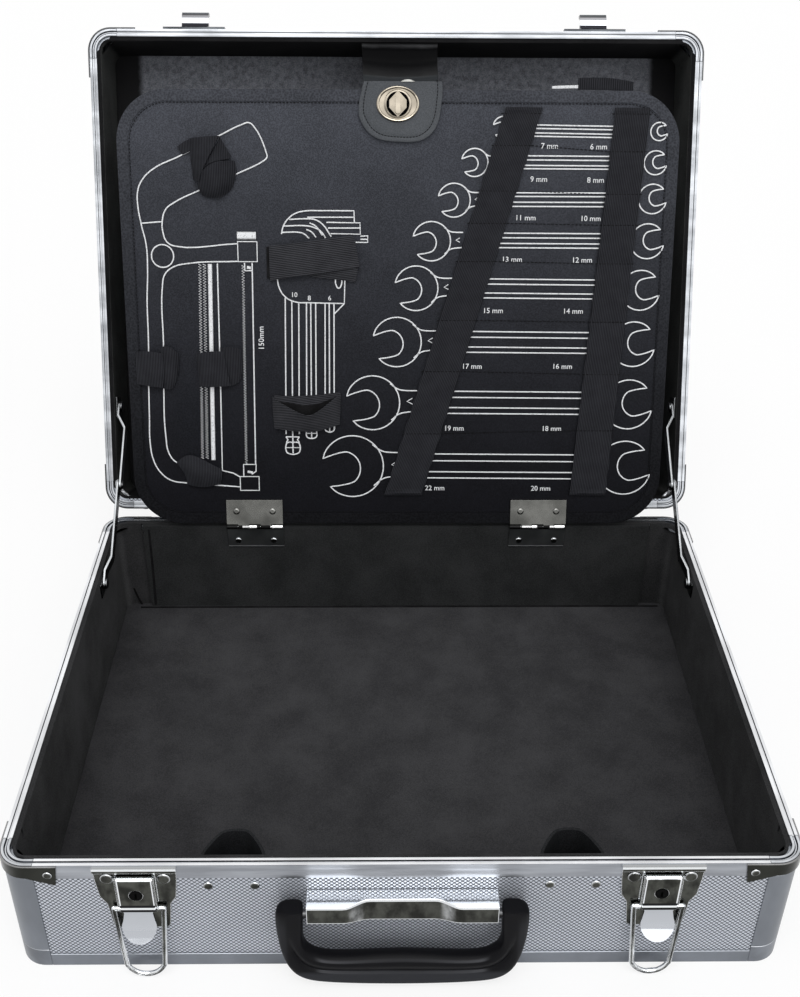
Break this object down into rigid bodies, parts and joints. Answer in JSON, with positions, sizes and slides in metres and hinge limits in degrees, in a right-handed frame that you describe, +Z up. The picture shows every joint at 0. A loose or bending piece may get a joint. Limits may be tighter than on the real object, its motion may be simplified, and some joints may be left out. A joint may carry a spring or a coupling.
{
  "type": "hard tool case",
  "caption": "Aluminium-edged tool case with a hinged lid on folding stays, a hinged tool board with printed outlines and elastic loops, draw latches and a drop handle.",
  "frame": {"origin": "middle of the base's footprint, on the floor", "axes": "+X to the right seen from the front, +Y from the front with its latches and handle to the back with its hinges, +Z up"},
  "size_m": [0.4646, 0.587, 0.4259],
  "materials": {
    "faced_panel": "fibreboard faced with a silver laminate embossed with small diamonds",
    "aluminium_edging": "satin, extruded",
    "corner_castings": "satin, pressed",
    "dark_plating": "dark bright plating",
    "black_lining": "black napped cloth",
    "lid_felt": "grey-black felt",
    "board_leather": "black grained leathercloth over board, with white printed tool outlines",
    "binding_tape": "black grained tape, stitched",
    "elastic": "black woven elastic",
    "strap_leather": "black leathercloth strap",
    "feet_rubber": "moulded",
    "handle_plastic": "satin black moulding",
    "bright_steel": "bright zinc",
    "chrome_fittings": "polished"
  },
  "bodies": {
    "base": {"base_front_panel": "faced_panel", "base_back_panel": "faced_panel", "base_side_panels": "faced_panel", "base_floor_panel": "faced_panel", "base_corner_posts": "aluminium_edging", "base_bottom_edges": "aluminium_edging", "base_corner_caps": "corner_castings", "base_rim": "aluminium_edging", "base_rim_corners": "corner_castings", "base_corner_plates": "dark_plating", "base_wall_lining": "black_lining", "base_floor_lining": "black_lining", "hinge_backing": "black_lining", "tool_loops": "elastic", "base_fasteners": "chrome_fittings", "handle_bracket": "chrome_fittings", "latch_plates": "chrome_fittings", "pivot_pins": "bright_steel", "rear_hinge_base_leaves": "chrome_fittings", "hinge_pins": "bright_steel", "base_rear_feet": "feet_rubber", "board_hinge_lower_leaves": "bright_steel", "stay_base_brackets": "bright_steel"},
    "lid": {"lid_top_panel": "faced_panel", "lid_end_panels": "faced_panel", "lid_side_panels": "faced_panel", "lid_corner_posts": "aluminium_edging", "lid_top_edges": "aluminium_edging", "lid_corner_caps": "corner_castings", "lid_rim": "aluminium_edging", "lid_rim_corners": "corner_castings", "lid_corner_plates": "dark_plating", "lid_wall_lining": "black_lining", "lid_top_lining": "lid_felt", "lid_fasteners": "chrome_fittings", "catch_hooks": "chrome_fittings", "rear_hinge_lid_leaves": "chrome_fittings", "lid_rear_feet": "feet_rubber", "stay_lid_brackets": "bright_steel", "strap_upper": "strap_leather"},
    "board": {"board_panel": "board_leather", "board_binding": "binding_tape", "spanner_bands": "binding_tape", "board_loops": "elastic", "board_hinge_upper_leaves": "bright_steel", "board_fasteners": "chrome_fittings", "strap_tab": "strap_leather", "turn_lock_plate": "chrome_fittings"},
    "knob": {"turn_knob": "chrome_fittings"},
    "grip": {"handle": "handle_plastic"},
    "left_lever": {"lever_left": "chrome_fittings"},
    "right_lever": {"lever_right": "chrome_fittings"},
    "left_bail": {"bail_left": "chrome_fittings"},
    "right_bail": {"bail_right": "chrome_fittings"},
    "left_lock": {"lock_left": "dark_plating"},
    "right_lock": {"lock_right": "dark_plating"},
    "left_lower_arm": {"stay_lower_left": "bright_steel"},
    "right_lower_arm": {"stay_lower_right": "bright_steel"},
    "left_upper_arm": {"stay_upper_left": "bright_steel"},
    "right_upper_arm": {"stay_upper_right": "bright_steel"}
  },
  "joints": [
    {"name": "lid_hinge", "type": "hinge", "parent": "base", "child": "lid", "pos_m": [0, 0.184, 0.09], "axis": [1, 0, 0], "range_deg": [0, 114.4], "deforming": ["strap_upper"]},
    {"name": "board_hinge", "type": "hinge", "parent": "base", "child": "board", "pos_m": [0, 0.1656, 0.088], "axis": [1, 0, 0], "range_deg": [0, 109.5]},
    {"name": "knob_turn", "type": "hinge", "parent": "board", "child": "knob", "pos_m": [0, 0.27075, 0.38493], "axis": [0, -0.9426, 0.3338], "range_deg": [0, 90]},
    {"name": "handle_pivot", "type": "hinge", "parent": "base", "child": "grip", "pos_m": [0, -0.189, 0.057], "axis": [-1, 0, 0], "range_deg": [0, 100]},
    {"name": "left_lever_pivot", "type": "hinge", "parent": "base", "child": "left_lever", "pos_m": [-0.1518, -0.1836, 0.0796], "axis": [-1, 0, 0], "range_deg": [0, 100]},
    {"name": "left_bail_pivot", "type": "hinge", "parent": "left_lever", "child": "left_bail", "pos_m": [-0.1518, -0.1833, 0.0556], "axis": [-1, 0, 0], "range_deg": [0, 100]},
    {"name": "left_lock_turn", "type": "hinge", "parent": "left_lever", "child": "left_lock", "pos_m": [-0.1518, -0.185, 0.0691], "axis": [0, -1, 0], "range_deg": [0, 90]},
    {"name": "right_lever_pivot", "type": "hinge", "parent": "base", "child": "right_lever", "pos_m": [0.1482, -0.1836, 0.0796], "axis": [-1, 0, 0], "range_deg": [0, 100]},
    {"name": "right_bail_pivot", "type": "hinge", "parent": "right_lever", "child": "right_bail", "pos_m": [0.1482, -0.1833, 0.0556], "axis": [-1, 0, 0], "range_deg": [0, 100]},
    {"name": "right_lock_turn", "type": "hinge", "parent": "right_lever", "child": "right_lock", "pos_m": [0.1482, -0.185, 0.0691], "axis": [0, -1, 0], "range_deg": [0, 90]},
    {"name": "left_lower_arm_pivot", "type": "hinge", "parent": "base", "child": "left_lower_arm", "pos_m": [-0.218, 0.102, 0.079], "axis": [1, 0, 0], "range_deg": [0, 101.55]},
    {"name": "left_upper_arm_pivot", "type": "hinge", "parent": "lid", "child": "left_upper_arm", "pos_m": [-0.218, 0.22648, 0.16187], "axis": [1, 0, 0], "range_deg": [-181.44, 0]},
    {"name": "right_lower_arm_pivot", "type": "hinge", "parent": "base", "child": "right_lower_arm", "pos_m": [0.218, 0.102, 0.079], "axis": [1, 0, 0], "range_deg": [0, 101.55]},
    {"name": "right_upper_arm_pivot", "type": "hinge", "parent": "lid", "child": "right_upper_arm", "pos_m": [0.218, 0.22648, 0.16187], "axis": [1, 0, 0], "range_deg": [-181.44, 0]}
  ],
  "couplings": [
    {"joint": "board_hinge", "follows": "lid_hinge", "ratio": 0.95717},
    {"joint": "left_lower_arm_pivot", "follows": "lid_hinge", "ratio": 0.88755},
    {"joint": "left_upper_arm_pivot", "follows": "lid_hinge", "ratio": -1.586},
    {"joint": "right_lower_arm_pivot", "follows": "lid_hinge", "ratio": 0.88755},
    {"joint": "right_upper_arm_pivot", "follows": "lid_hinge", "ratio": -1.586}
  ]
}
